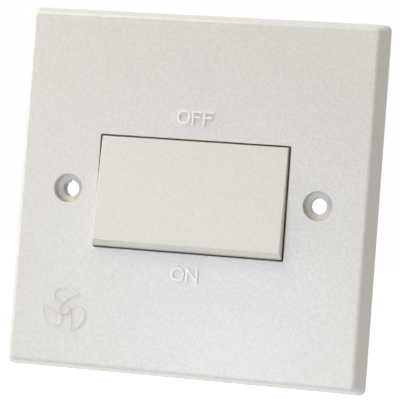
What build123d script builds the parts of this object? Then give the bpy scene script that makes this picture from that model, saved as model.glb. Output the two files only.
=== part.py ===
from build123d import *
from math import acos, atan2, cos, hypot, radians, sin, sqrt, tan
import os

# Three-pole fan isolator switch on a square wall plate, in the OFF state.
# Millimetres. X runs right along the plate, Y into the wall, Z up. The wall is the plane Y = 0.

# Front plate: its sides flare from the face to the wall
plate_back_size = 88.0
plate_face_width = 83.3
plate_face_height = 84.5
plate_depth = 7.0
plate_corner = 1.6
face_edge_round = 1.1
corner_left = 0.08
rim_round = 0.3
face_wall = 2.4
side_wall = 2.0

# Fixing holes, at the centres of a single wall box
fixing_pitch = 60.3
fixing_hole_r = 1.95
fixing_well_r = 3.4
fixing_well_depth = 3.0
fixing_seat_drop = 0.5
fixing_boss_wall = 1.2
boss_setback = 0.1
boss_clear = 0.25
gusset_thick = 1.2
gusset_height = 2.6

# Opening for the rocker and the gaps round it
opening_width = 45.8
opening_height = 27.0
opening_relief_deg = 10.0
opening_round = 0.35
rocker_side_gap = 0.25
rocker_side_play = 0.12
rocker_end_gap = 0.4
well_clear = 0.45

# Rocker, drawn level about its pivot
pivot_depth = 3.7
face_reach = 5.4
rocker_throw_deg = 16.0
rocker_panel = 2.2
rocker_skirt = 1.6
rocker_cheek = 1.6
skirt_back = 1.6
rocker_edge_round = 0.35
rocker_draft_in = 0.2
rocker_draft_back = 1.8
trunnion_r = 1.25
trunnion_reach = 1.75
trunnion_lug_r = 3.2
run_clear = 0.06
rest_clear = 0.1

# Saddles on the plate that carry the trunnions
saddle_width = 2.0
saddle_height = 8.0

# Poles
pole_count = 3
end_pole_inset = 7.65
partition = 1.2

# Plungers and their springs, in bores along the rocker's middle
plunger_reach = 14.0
plunger_tip_r = 1.1
plunger_r = 1.95
plunger_seat = 3.5
plunger_shank = 5.0
plunger_shoulder = 0.8
spigot_r = 0.95
spigot_length = 1.2
boss_wall = 1.0
boss_back = 8.0
bore_front = 2.2
web_thick = 1.2
web_height = 2.4
spring_wire = 0.45
spring_r = 1.35
spring_turns = 5
spring_clear = 0.05

# Moving contacts: bent blades that rock about their bend
blade_thick = 0.8
blade_width = 5.0
blade_bend_deg = 20.0
blade_throw_deg = 22.0
blade_short_wing = 5.2
blade_past_contact = 1.9
blade_tab = 1.1
tip_clear = 0.12
contact_arm = 8.4
button_r = 1.2
button_edge = 0.5
button_crown = 0.4
contact_clear = 0.05
fixed_contact_r = 1.6
fixed_contact_height = 0.9

# Terminals
terminal_width = 8.0
terminal_length = 7.0
terminal_front = 3.0
terminal_round = 0.6
terminal_inner = 11.9
wire_r = 2.1
wire_wall = 1.1
tongue_thick = 1.2
load_tongue_past = 2.4
load_tongue_width = 5.4
line_tongue_past = 2.4
cheek_thick = 0.8
cheek_height = 3.4
cheek_lip = 0.6
cheek_side_clear = 0.1

# Terminal screws, backed out of the wire tunnels
term_screw_r = 1.7
term_hole_clear = 0.05
term_head_r = 2.6
term_head_height = 2.0
term_head_lift = 0.35
term_tip_clear = 0.3

# Switch base
base_wall = 1.5
base_end_wall = 1.9
base_floor = 1.8
base_corner = 1.5
base_back_round = 0.8
base_front_clear = 0.1
partition_clear = 2.0
access_hole_r = 3.0
window_r = 2.6
window_flare = 0.6
locator_thick = 1.2
locator_clear = 0.1
locator_front = 2.0

# Ears, plate bosses and the screws between them
ear_reach = 3.5
ear_z = 14.0
ear_r = 3.2
ear_thick = 2.0
ear_front = 1.1
ear_hole_clear = 0.15
screw_r = 1.3
screw_bite = 3.6
screw_head_r = 2.5
screw_head_height = 1.6
pilot_clear = 0.02
pilot_spare = 0.5
screw_boss_r = 2.6

# Posts on the plate that hold the terminals down
post_r = 1.5
post_clear = 0.1

# Worked out from the sizes above
face_y = -plate_depth
inner_y = face_y + face_wall
pivot_y = face_y + pivot_depth
half_throw = rocker_throw_deg / 2
half_tilt = blade_throw_deg / 2

# The front round leaves corner_left of the plate's corners, also where a side leans the other way
plate_lean = atan2(plate_back_size - max(plate_face_width, plate_face_height), 2 * plate_depth)
corner_limit = (plate_corner - corner_left) * tan(radians(45) + plate_lean / 2)
face_round = min(face_edge_round, corner_limit)

opening_half = opening_height / 2
rocker_half = opening_width / 2 - rocker_side_gap
pole_pitch = 2 * (rocker_half - end_pole_inset) / (pole_count - 1)
pole_xs = [(n - (pole_count - 1) / 2) * pole_pitch for n in range(pole_count)]
end_radius = hypot(opening_half - rocker_end_gap, pivot_depth)
plunger_bore_r = plunger_r + run_clear

# The plunger's round tip meets the pressed wing of the blade with tip_clear at rest
tip_centre = plunger_reach - plunger_tip_r
pressed_deg = blade_bend_deg - half_tilt
tip_to_middle = blade_thick / 2 + plunger_tip_r + tip_clear
tip_swing = cos(radians(half_throw - pressed_deg))
blade_reach = (tip_to_middle + tip_centre * tip_swing) / cos(radians(pressed_deg))
blade_y = pivot_y + blade_reach

# The button's crown is a sphere; closed, it stops contact_clear short of the fixed contact
button_height = button_edge + button_crown
crown_r = (button_r**2 + button_crown**2) / (2 * button_crown)
crown_out = blade_thick / 2 + button_height - crown_r
crown_y = blade_y - contact_arm * sin(radians(pressed_deg)) + crown_out * cos(radians(pressed_deg))
contact_z = contact_arm * cos(radians(pressed_deg)) + crown_out * sin(radians(pressed_deg))
contact_y = crown_y + crown_r + contact_clear
tongue_y = contact_y + fixed_contact_height
floor_y = tongue_y + tongue_thick
base_back_y = floor_y + base_floor

terminal_outer = terminal_inner + terminal_length
terminal_mid = terminal_inner + terminal_length / 2
wire_y = terminal_front + wire_wall + wire_r
cell_half = (pole_pitch - partition) / 2
base_inner_z = terminal_outer + rest_clear
base_half_z = base_inner_z + base_wall
well_half_x = rocker_half + well_clear
base_half_x = well_half_x + base_end_wall
well_half_z = end_radius + well_clear
base_front_y = inner_y + base_front_clear
skirt_swing = (skirt_back + end_radius * tan(radians(half_throw))) * cos(radians(half_throw))
partition_y = pivot_y + skirt_swing + partition_clear
saddle_x = well_half_x + run_clear
ear_x = base_half_x + ear_reach
fixing_boss_r = fixing_well_r + fixing_boss_wall
screw_tip_y = -ear_front - screw_bite


def prism(outline, y_front, y_back):
    """Makes an outline drawn in X and Z solid between two depths."""
    return extrude(Plane.XZ.offset(-y_back) * outline, y_back - y_front)


def across(outline, half_width):
    """Makes an outline drawn in Y and Z solid to both sides of the middle."""
    return extrude(Plane.YZ * outline, half_width, both=True)


def flared(size_front, size_back, y_front, y_back, corner):
    """Joins two rounded oblongs, given as width and height, a smaller one in front of a larger."""
    front = Plane.XZ.offset(-y_front) * RectangleRounded(*size_front, corner)
    back = Plane.XZ.offset(-y_back) * RectangleRounded(*size_back, corner)
    return loft([back, front], ruled=True)


def at_poles(shape):
    """Repeats a shape at every pole."""
    return [Pos(X=x) * shape for x in pole_xs]


def in_rocker(shape):
    """Sets a shape drawn level about the pivot at the OFF end of the throw, slid to the left."""
    return Pos(-rocker_side_play, pivot_y) * Rot(X=-half_throw) * shape


def on_blade(shape):
    """Sets a shape drawn level about the blade's bend at the OFF end of its throw."""
    return Pos(Y=blade_y) * Rot(X=half_tilt) * shape


def plate_size_at(y):
    """Outer width and height of the flared plate at a depth."""
    share = 1 + y / plate_depth
    return [face + (plate_back_size - face) * share for face in (plate_face_width, plate_face_height)]


def plate_shell():
    """Flared plate with a rounded front edge, hollow from behind."""
    outer = flared(plate_size_at(face_y), plate_size_at(0), face_y, 0, plate_corner)
    front = outer.faces().sort_by(Axis.Y)[0]
    outer = fillet(front.edges(), face_round)
    hollow_front = [size - 2 * side_wall for size in plate_size_at(inner_y)]
    hollow_back = [size - 2 * side_wall for size in plate_size_at(0)]
    return outer - flared(hollow_front, hollow_back, inner_y, 0, plate_corner)


def opening_cut():
    """Opening that widens behind the face, to clear the rocker's round ends."""
    relief = face_wall * tan(radians(opening_relief_deg))
    front = Plane.XZ.offset(-face_y) * RectangleRounded(opening_width, opening_height, opening_round)
    back = Plane.XZ.offset(-inner_y) * RectangleRounded(
        opening_width + 2 * well_clear, opening_height + 2 * relief, opening_round
    )
    return loft([back, front], ruled=True)


def fixing_well():
    """Counterbore, shallow coned seat and clearance hole of one fixing."""
    seat = fixing_well_depth + fixing_seat_drop
    outline = make_face(
        Polyline(
            (0, face_y),
            (fixing_well_r, face_y),
            (fixing_well_r, face_y + fixing_well_depth),
            (fixing_hole_r, face_y + seat),
            (fixing_hole_r, 0),
            (0, 0),
            close=True,
        )
    )
    return revolve(outline, Axis.Y)


def front_plate():
    """Plate with its bosses, saddles, posts and gussets on the hidden side."""
    shell = plate_shell()
    boss = prism(Circle(fixing_boss_r), inner_y, -boss_setback)
    gusset_from = fixing_pitch / 2
    gusset_to = plate_size_at(inner_y)[0] / 2 - side_wall / 2
    gusset = Pos((gusset_from + gusset_to) / 2, 0) * Rectangle(gusset_to - gusset_from, gusset_thick)
    pillar = prism(Circle(screw_boss_r), inner_y, -ear_front)
    pilot = prism(Circle(screw_r + pilot_clear), screw_tip_y - pilot_spare, -ear_front)
    saddle = Pos(saddle_x + saddle_width / 2, 0) * Rectangle(saddle_width, saddle_height)
    post = prism(Circle(post_r), inner_y, terminal_front - post_clear)
    for side in (-1, 1):
        shell += Pos(X=side * fixing_pitch / 2) * boss
        shell += prism(Rot(Z=90 - 90 * side) * gusset, inner_y, inner_y + gusset_height)
        shell += prism(Rot(Z=90 - 90 * side) * saddle, inner_y, pivot_y)
        for up in (-1, 1):
            shell += Pos(side * ear_x, 0, up * ear_z) * pillar
            shell -= Pos(side * ear_x, 0, up * ear_z) * pilot
    for x in pole_xs:
        for up in (-1, 1):
            shell += Pos(x, 0, up * terminal_mid) * post
    for side in (-1, 1):
        shell -= Pos(X=side * fixing_pitch / 2) * fixing_well()
    groove = across(Circle(trunnion_r + run_clear), saddle_x + saddle_width)
    shell -= Pos(Y=pivot_y) * groove
    shell -= opening_cut()
    face = shell.faces().sort_by(Axis.Y)[0]
    rims = [edge for wire in face.inner_wires() for edge in wire.edges()]
    return fillet(rims, rim_round)


def drafted_cheeks():
    """Room of the rocker between its cheeks, which lean in toward the face."""
    face_half = rocker_half - rocker_draft_in
    bend_y = rocker_draft_back - face_reach
    outline = make_face(
        Polyline(
            (-rocker_half, skirt_back),
            (rocker_half, skirt_back),
            (rocker_half, bend_y),
            (face_half, -face_reach),
            (-face_half, -face_reach),
            (-rocker_half, bend_y),
            close=True,
        )
    )
    return extrude(outline, end_radius, both=True)


def rocker():
    """Flat-faced rocker: its end walls are arcs about the pivot, so the gap stays even."""
    depth = face_reach + skirt_back
    outline = Circle(end_radius) & Pos(X=skirt_back - depth / 2) * Rectangle(depth, 2 * end_radius)
    body = across(outline, rocker_half) & drafted_cheeks()
    body = fillet(body.faces().sort_by(Axis.Y)[0].edges(), rocker_edge_round)
    inner_r = end_radius - rocker_skirt
    panel_y = rocker_panel - face_reach
    cavity = Circle(inner_r) & Pos(X=panel_y + inner_r) * Rectangle(2 * inner_r, 2 * inner_r)
    body -= across(cavity, rocker_half - rocker_cheek)

    boss = Circle(plunger_bore_r + boss_wall)
    web = Rectangle(web_thick, 2 * end_radius - rocker_skirt)
    for x in pole_xs:
        body += prism(Pos(x, 0) * boss, panel_y, boss_back)
        body += prism(Pos(x, 0) * web, panel_y, panel_y + web_height)
    for x in pole_xs:
        body -= prism(Pos(x, 0) * Circle(plunger_bore_r), -bore_front, boss_back)

    for side in (-1, 1):
        start = Plane.YZ.offset(side * (rocker_half - rocker_cheek))
        body += extrude(start * Circle(trunnion_lug_r), side * rocker_cheek)
        body += extrude(start * Circle(trunnion_r), side * (rocker_cheek + trunnion_reach))
    return in_rocker(body)


def plunger():
    """Turned plunger: spigot for the spring, shank in the bore, thinner round-nosed tip."""
    shoulder = plunger_seat + plunger_shank
    half = sqrt(0.5) * plunger_tip_r
    outline = Polyline(
        (0, tip_centre + plunger_tip_r),
        (0, plunger_seat - spigot_length),
        (spigot_r, plunger_seat - spigot_length),
        (spigot_r, plunger_seat),
        (plunger_r, plunger_seat),
        (plunger_r, shoulder),
        (plunger_tip_r, shoulder + plunger_shoulder),
        (plunger_tip_r, tip_centre),
    )
    outline += ThreePointArc(
        (plunger_tip_r, tip_centre), (half, tip_centre + half), (0, tip_centre + plunger_tip_r)
    )
    return revolve(make_face(outline), Axis.Y)


def plunger_spring():
    """Coil between the bore's closed end and the plunger's seat."""
    margin = spring_wire / 2 + spring_clear
    length = plunger_seat + bore_front - 2 * margin
    coil = Helix(
        pitch=length / spring_turns,
        height=length,
        radius=spring_r,
        center=(0, margin - bore_front, 0),
        direction=(0, 1, 0),
    )
    return sweep(Plane(origin=coil @ 0, z_dir=coil % 0) * Circle(spring_wire / 2), path=coil)


def moving_contact():
    """Bent strip with two side tabs on its bend, which sit in the terminal's cheeks."""
    long_wing = contact_arm + blade_past_contact
    upper = Rectangle(blade_thick, long_wing, align=(Align.CENTER, Align.MIN))
    lower = Rectangle(blade_thick, blade_short_wing, align=(Align.CENTER, Align.MAX))
    bend = Circle(blade_thick / 2)
    strip = bend + Rot(Z=blade_bend_deg) * upper + Rot(Z=-blade_bend_deg) * lower
    return across(strip, blade_width / 2) + across(bend, blade_width / 2 + blade_tab)


def contact_button():
    """Crowned button on the back of the blade's long wing."""
    outline = Polyline((0, button_height), (0, 0), (button_r, 0), (button_r, button_edge))
    lean = acos(1 - button_crown / crown_r) / 2
    outline += ThreePointArc(
        (button_r, button_edge),
        (crown_r * sin(lean), button_height - crown_r * (1 - cos(lean))),
        (0, button_height),
    )
    button = revolve(make_face(outline), Axis.Y)
    return Rot(X=blade_bend_deg) * Pos(0, blade_thick / 2, contact_arm) * button


def terminal_block():
    """Brass block above the middle, with its wire tunnel and screw hole."""
    depth = floor_y - terminal_front
    section = RectangleRounded(terminal_width, depth, terminal_round)
    block = extrude(Pos(0, terminal_front + depth / 2, terminal_inner) * section, terminal_length)
    tunnel = extrude(Pos(0, wire_y, terminal_inner) * Circle(wire_r), terminal_length)
    hole = prism(Circle(term_screw_r + term_hole_clear), wire_y, floor_y)
    return block - tunnel - Pos(Z=terminal_mid) * hole


def tongue(width, z_end):
    """Flat strip on the base's floor, from the block to z_end."""
    root = terminal_inner + terminal_round
    strip = Pos(0, (root + z_end) / 2) * Rectangle(width, root - z_end)
    return prism(strip, tongue_y, floor_y)


def load_terminal():
    """Upper terminal, whose tongue carries the fixed contact."""
    return terminal_block() + tongue(load_tongue_width, contact_z - load_tongue_past)


def line_terminal():
    """Lower terminal, whose tongue has two notched cheeks for the blade's tabs."""
    inside = blade_width / 2 + cheek_side_clear
    width = 2 * (inside + cheek_thick)
    body = terminal_block() + tongue(width, -line_tongue_past)
    notch_r = blade_thick / 2 + run_clear
    lip_y = blade_y - cheek_lip
    cheeks = Rectangle(width, cheek_height) - Rectangle(2 * inside, cheek_height)
    body += prism(cheeks, lip_y, tongue_y)
    slot = Circle(notch_r) + Pos(X=-cheek_lip / 2) * Rectangle(cheek_lip, 2 * notch_r)
    body -= Pos(Y=blade_y) * across(slot, width)
    return Rot(Y=180) * body


def fixed_contact():
    """Silver disc on the load tongue."""
    return Pos(Z=contact_z) * prism(Circle(fixed_contact_r), contact_y, tongue_y)


def pan_screw(shank_r, tip_y, head_y, head_r, head_height):
    """Screw along Y: plain shank, domed head behind it."""
    shank = prism(Circle(shank_r), tip_y, head_y)
    head = prism(Circle(head_r), head_y, head_y + head_height)
    rim = head.edges().group_by(Axis.Y)[-1]
    return shank + fillet(rim, head_height / 2)


def terminal_screw():
    """Clamp screw above the middle, its tip clear of the wire."""
    tip_y = wire_y + wire_r + term_tip_clear
    head_y = floor_y + term_head_lift
    screw = pan_screw(term_screw_r, tip_y, head_y, term_head_r, term_head_height)
    return Pos(Z=terminal_mid) * screw


def base_screws():
    """Four screws through the base's ears into the plate's bosses."""
    head_y = ear_thick - ear_front
    screw = pan_screw(screw_r, screw_tip_y, head_y, screw_head_r, screw_head_height)
    return [Pos(x, 0, z) * screw for x in (-ear_x, ear_x) for z in (-ear_z, ear_z)]


def base_cell():
    """Hollow of one pole, with ribs left standing to locate its two terminals."""
    cell = prism(Rectangle(2 * cell_half, 2 * base_inner_z), base_front_y, floor_y)
    rib_x = terminal_width / 2 + locator_clear + locator_thick / 2
    rib_z = (terminal_inner + base_inner_z) / 2
    rib = Rectangle(locator_thick, base_inner_z - terminal_inner)
    for side in (-1, 1):
        for up in (-1, 1):
            place = Pos(side * rib_x, up * rib_z)
            cell -= prism(place * rib, terminal_front + locator_front, floor_y)
    return cell


def wire_window():
    """Funnel through the upper wall in line with a wire tunnel."""
    outline = make_face(
        Polyline(
            (0, base_inner_z),
            (window_r, base_inner_z),
            (window_r + window_flare, base_half_z),
            (0, base_half_z),
            close=True,
        )
    )
    return Pos(Y=wire_y) * revolve(Plane.XZ * outline, Axis.Z)


def base_ear():
    """Ear on the right of the base, for one screw."""
    reach = ear_x - base_half_x + base_end_wall / 2
    arm = Pos(ear_x - reach / 2, 0) * Rectangle(reach, 2 * ear_r)
    outline = arm + Pos(ear_x, 0) * Circle(ear_r) - Pos(ear_x, 0) * Circle(screw_r + ear_hole_clear)
    return prism(outline, -ear_front, ear_thick - ear_front)


def switch_base():
    """Moulded base: open in front, one cell per pole, windows for wires and terminal screws."""
    outline = RectangleRounded(2 * base_half_x, 2 * base_half_z, base_corner)
    body = prism(outline, base_front_y, base_back_y)
    body = fillet(body.edges().group_by(Axis.Y)[-1], base_back_round)
    body -= prism(Rectangle(2 * well_half_x, 2 * well_half_z), base_front_y, partition_y)
    access = prism(Circle(access_hole_r), floor_y, base_back_y)
    for x in pole_xs:
        body -= Pos(X=x) * base_cell()
        for turn in (0, 180):
            body -= Pos(X=x) * Rot(Y=turn) * wire_window()
            body -= Pos(X=x) * Rot(Y=turn) * Pos(Z=terminal_mid) * access
    for turn in (0, 180):
        for z in (-ear_z, ear_z):
            body += Rot(Y=turn) * Pos(Z=z) * base_ear()
    boss_room = prism(Circle(fixing_boss_r + boss_clear), base_front_y, boss_clear - boss_setback)
    for side in (-1, 1):
        body -= Pos(X=side * fixing_pitch / 2) * boss_room
    notch = Rectangle(2 * base_half_x, saddle_height + 2 * rest_clear)
    body -= prism(notch, base_front_y, pivot_y + rest_clear)
    journal = rocker_half + trunnion_reach + rocker_side_play + rest_clear
    return body - Pos(Y=pivot_y) * across(Circle(trunnion_r + run_clear), journal)


def write(name, shapes):
    """Writes one node, a single solid or a group of like solids."""
    solids = [solid for shape in shapes for solid in shape.solids()]
    node = solids[0] if len(solids) == 1 else Compound(children=solids)
    node.label = name
    export_step(node, f"parts/{name}.step")


os.makedirs("parts", exist_ok=True)
write("front_plate", [front_plate()])
write("rocker", [rocker()])
write("switch_base", [switch_base()])
write("base_screws", base_screws())

per_pole = {
    "line_terminal": line_terminal(),
    "load_terminal": load_terminal(),
    "line_screw": Rot(Y=180) * terminal_screw(),
    "load_screw": terminal_screw(),
    "fixed_contact": fixed_contact(),
    "moving_contact": on_blade(moving_contact()),
    "contact_button": on_blade(contact_button()),
    "plunger": in_rocker(plunger()),
    "plunger_spring": in_rocker(plunger_spring()),
}
for name, shape in per_pole.items():
    for number, placed in enumerate(at_poles(shape), start=1):
        write(f"{name}_{number}", [placed])
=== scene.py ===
"""Looks of a three-pole fan isolator switch: finishes, moulded marks and fastener detail."""

import logging
from abc import ABC, abstractmethod
from dataclasses import dataclass
from enum import Enum
from math import copysign, cos, pi, radians, sin
from typing import Any, Iterable, Sequence

import bmesh
import bpy
from mathutils import Matrix, Vector


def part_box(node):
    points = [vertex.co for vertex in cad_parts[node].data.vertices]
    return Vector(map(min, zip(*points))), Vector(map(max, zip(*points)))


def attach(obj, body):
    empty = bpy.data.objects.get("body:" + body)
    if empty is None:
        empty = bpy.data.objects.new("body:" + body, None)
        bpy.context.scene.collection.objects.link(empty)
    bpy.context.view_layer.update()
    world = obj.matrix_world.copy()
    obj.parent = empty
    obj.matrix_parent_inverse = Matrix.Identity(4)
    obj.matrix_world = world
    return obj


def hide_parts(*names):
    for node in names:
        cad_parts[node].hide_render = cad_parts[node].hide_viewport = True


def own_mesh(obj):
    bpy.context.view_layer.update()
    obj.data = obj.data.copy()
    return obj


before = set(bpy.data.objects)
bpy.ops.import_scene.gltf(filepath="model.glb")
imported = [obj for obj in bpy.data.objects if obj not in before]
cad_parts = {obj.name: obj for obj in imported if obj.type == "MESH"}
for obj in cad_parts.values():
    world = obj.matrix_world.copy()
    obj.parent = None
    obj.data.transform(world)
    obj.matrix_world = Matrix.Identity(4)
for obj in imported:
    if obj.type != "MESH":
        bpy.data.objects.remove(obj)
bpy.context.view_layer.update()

LOG = logging.getLogger("fan_isolator")
MM = 0.001
POLES = (1, 2, 3)
MIDDLE_POLE = 2
POLE_PITCH = 15.0 * MM
SIDES = ("line", "load")
WHITE = (1.0, 1.0, 1.0)

Colour = tuple[float, float, float]
Point = tuple[float, float]
Spot = tuple[float, float, float]
Stroke = tuple[list[Point], bool]
Piece = bpy.types.Object
Socket = bpy.types.NodeSocket
Tree = bpy.types.NodeTree
Values = dict[Any, Any]
Effect = tuple[Tree, Values, float]


class Body(str, Enum):
    """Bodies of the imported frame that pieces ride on."""

    HOUSING = "housing"
    ROCKER = "rocker_body"


class Slot(str, Enum):
    """Finish slots of the record."""

    PLATE = "plate_plastic"
    ROCKER = "rocker_plastic"
    BASE = "base_plastic"
    PLUNGER = "plunger_plastic"
    BRASS = "terminal_brass"
    COPPER = "blade_copper"
    SILVER = "contact_silver"
    SCREW = "screw_steel"
    SPRING = "spring_steel"


class Kind(str, Enum):
    """Socket types of the node trees."""

    FLOAT = "NodeSocketFloat"
    COLOUR = "NodeSocketColor"
    VECTOR = "NodeSocketVector"
    MATERIAL = "NodeSocketMaterial"
    GEOMETRY = "NodeSocketGeometry"


Sockets = dict[str, Kind]


class Net:
    """Adds nodes and links to one node tree."""

    NOISE_MIDDLE = 0.5

    def __init__(self, tree: Tree) -> None:
        """Keeps the tree that the nodes go into."""
        self.tree = tree

    def add(self, kind: str, values: Values | None = None, **settings: Any) -> bpy.types.Node:
        """Adds one node.

        Args:
            kind: Blender's name of the node type.
            values: a constant or an output socket for each named or numbered input.
            settings: properties of the node itself.

        Returns:
            The new node.
        """
        node = self.tree.nodes.new(kind)
        for name, value in settings.items():
            setattr(node, name, value)
        for key, value in (values or {}).items():
            self.feed(node.inputs[key], value)
        return node

    def out(self, kind: str, values: Values | None = None, **settings: Any) -> Socket:
        """Adds one node and gives its first output."""
        return self.add(kind, values, **settings).outputs[0]

    def feed(self, socket: Socket, value: Any) -> None:
        """Links an output socket to an input, or sets the input's own value.

        Args:
            socket: the input.
            value: an output socket or a constant.
        """
        if isinstance(value, Socket):
            self.tree.links.new(value, socket)
        else:
            socket.default_value = value

    def math(self, operation: str, first: Any, second: Any = 0.0) -> Socket:
        """Adds a Math node and gives its result."""
        return self.out("ShaderNodeMath", {0: first, 1: second}, operation=operation)

    def scaled(self, vector: Socket, factor: Any) -> Socket:
        """Multiplies a colour or a vector by one value."""
        return self.out("ShaderNodeVectorMath", {0: vector, "Scale": factor}, operation="SCALE")

    def product(self, first: Any, second: Any) -> Socket:
        """Multiplies two vectors part by part."""
        return self.out("ShaderNodeVectorMath", {0: first, 1: second}, operation="MULTIPLY")

    def ramp(self, value: Any, span: Point, low: float, high: float) -> Socket:
        """Maps a value across a span onto low to high, and holds them outside it."""
        values = {0: value, 1: span[0], 2: span[1], 3: low, 4: high}
        return self.out("ShaderNodeMapRange", values)

    def place(self) -> Socket:
        """Gives the shaded point's object coordinates."""
        return self.add("ShaderNodeTexCoord").outputs["Object"]

    def noise(self, place: Socket, scale: Any, detail: float) -> Socket:
        """Adds a noise texture and gives its value, about 0.5 on average."""
        values = {"Vector": place, "Scale": scale, "Detail": detail}
        return self.out("ShaderNodeTexNoise", values)

    def spread(self, value: Socket, middle: Any, reach: Any) -> Socket:
        """Turns a noise value into middle plus or minus about half of reach."""
        offset = self.math("SUBTRACT", value, self.NOISE_MIDDLE)
        return self.math("ADD", self.math("MULTIPLY", offset, reach), middle)

    def seen(self) -> Socket:
        """Masks the rays that come from the camera, off gloss or through glass.

        Returns:
            1 on those rays and 0 on others.
        """
        path = self.add("ShaderNodeLightPath").outputs
        mask = self.math("MAXIMUM", path["Is Camera Ray"], path["Is Glossy Ray"])
        return self.math("MAXIMUM", mask, path["Is Transmission Ray"])


def start_tree(family: str, name: str, inputs: Sockets, outputs: Sockets) -> tuple[Net, Any]:
    """Starts a node tree with named inputs and outputs.

    Args:
        family: Blender's name of the tree type.
        name: the tree's name.
        inputs: kind of each named input.
        outputs: kind of each named output.

    Returns:
        The tree's net and its input sockets.
    """
    tree = bpy.data.node_groups.new(name, family)
    for way, sockets in (("INPUT", inputs), ("OUTPUT", outputs)):
        for title, kind in sockets.items():
            tree.interface.new_socket(title, in_out=way, socket_type=kind.value)
    net = Net(tree)
    return net, net.add("NodeGroupInput").outputs


class SharedEffects:
    """Shader groups that several finishes use, each built once."""

    OUTPUTS = {"Colour": Kind.COLOUR, "Roughness": Kind.FLOAT, "Height": Kind.FLOAT}
    CLOUD_DETAIL = 3.0
    GRAIN_DETAIL = 1.0
    LINE_DETAIL = 2.0
    PATCH_DETAIL = 4.0
    PATCH_SPAN = (0.35, 0.7)
    PATCH_SHARE = 0.8
    PATCH_STREAK = 0.6
    PATCH_ROUGHNESS = 0.15

    def __init__(self) -> None:
        """Builds every group."""
        self.moulded_skin = self._moulded_skin()
        self.worked_metal = self._worked_metal()

    def _moulded_skin(self) -> Tree:
        """Fine stipple, faint cloudiness and uneven gloss of a moulded plastic skin.

        Returns:
            The group.
        """
        sizes = ("Cloud Size", "Cloudiness", "Grain Size", "Speck", "Roughness", "Gloss Drift")
        inputs = {"Colour": Kind.COLOUR, **dict.fromkeys(sizes, Kind.FLOAT)}
        net, given = start_tree("ShaderNodeTree", "moulded_skin", inputs, self.OUTPUTS)
        place = net.place()
        cloud = net.noise(place, net.math("DIVIDE", 1.0, given["Cloud Size"]), self.CLOUD_DETAIL)
        grain = net.noise(place, net.math("DIVIDE", 1.0, given["Grain Size"]), self.GRAIN_DETAIL)
        light = net.spread(cloud, 1.0, given["Cloudiness"])
        speck = net.spread(grain, light, given["Speck"])
        tinted = net.scaled(given["Colour"], speck)
        rough = net.spread(cloud, given["Roughness"], given["Gloss Drift"])
        net.add("NodeGroupOutput", {"Colour": tinted, "Roughness": rough, "Height": grain})
        return net.tree

    def _worked_metal(self) -> Tree:
        """Drawn or turned lines and dull patches of bare metal.

        Returns:
            The group.
        """
        inputs = {
            "Bright": Kind.COLOUR,
            "Dull": Kind.COLOUR,
            "Lines": Kind.VECTOR,
            "Patch Size": Kind.FLOAT,
            "Roughness": Kind.FLOAT,
            "Gloss Drift": Kind.FLOAT,
        }
        net, given = start_tree("ShaderNodeTree", "worked_metal", inputs, self.OUTPUTS)
        place = net.place()
        line = net.noise(net.product(place, given["Lines"]), 1.0, self.LINE_DETAIL)
        patch = net.noise(place, net.math("DIVIDE", 1.0, given["Patch Size"]), self.PATCH_DETAIL)
        share = net.ramp(patch, self.PATCH_SPAN, 0.0, 1.0)
        share = net.math("MULTIPLY", share, net.spread(line, self.PATCH_SHARE, self.PATCH_STREAK))
        colours = {0: share, 6: given["Bright"], 7: given["Dull"]}
        mixed = net.add("ShaderNodeMix", colours, data_type="RGBA")
        rough = net.spread(line, given["Roughness"], given["Gloss Drift"])
        rough = net.math("ADD", rough, net.math("MULTIPLY", share, self.PATCH_ROUGHNESS))
        net.add("NodeGroupOutput", {"Colour": mixed.outputs[2], "Roughness": rough, "Height": line})
        return net.tree


@dataclass(frozen=True)
class Finish(ABC):
    """A surface that wears one of the shared effects."""

    METALLIC = 0.0

    name: str

    def material(self, effects: SharedEffects) -> bpy.types.Material:
        """Builds the material.

        Args:
            effects: the shared shader groups.

        Returns:
            A material with the finish's effect on it.
        """
        made = bpy.data.materials.new(self.name)
        made.use_nodes = True
        net = Net(made.node_tree)
        shader = made.node_tree.nodes["Principled BSDF"].inputs
        group, values, relief = self._effect(effects)
        skin = net.add("ShaderNodeGroup", values, node_tree=group).outputs
        bump = net.out("ShaderNodeBump", {"Height": skin["Height"], "Distance": relief})
        shader["Metallic"].default_value = self.METALLIC
        net.feed(shader["Base Color"], self._tone(net, skin["Colour"]))
        net.feed(shader["Roughness"], skin["Roughness"])
        net.feed(shader["Normal"], bump)
        return made

    @abstractmethod
    def _effect(self, effects: SharedEffects) -> Effect:
        """Gives the effect's group, its values and the height of its relief."""

    def _tone(self, net: Net, colour: Socket) -> Socket:
        """Passes the effect's colour on unchanged."""
        return colour


@dataclass(frozen=True)
class PlasticFinish(Finish):
    """One moulded plastic."""

    colour: Colour
    roughness: float
    cloud_size: float = 18.0 * MM
    cloudiness: float = 0.05
    grain_size: float = 0.28 * MM
    grain_height: float = 0.012 * MM
    speck: float = 0.03
    gloss_drift: float = 0.12

    def _effect(self, effects: SharedEffects) -> Effect:
        """Wears the moulded skin.

        Args:
            effects: the shared shader groups.

        Returns:
            The group, its values and the grain's height.
        """
        values = {
            "Colour": (*self.colour, 1.0),
            "Cloud Size": self.cloud_size,
            "Cloudiness": self.cloudiness,
            "Grain Size": self.grain_size,
            "Speck": self.speck,
            "Roughness": self.roughness,
            "Gloss Drift": self.gloss_drift,
        }
        return effects.moulded_skin, values, self.grain_height


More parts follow.
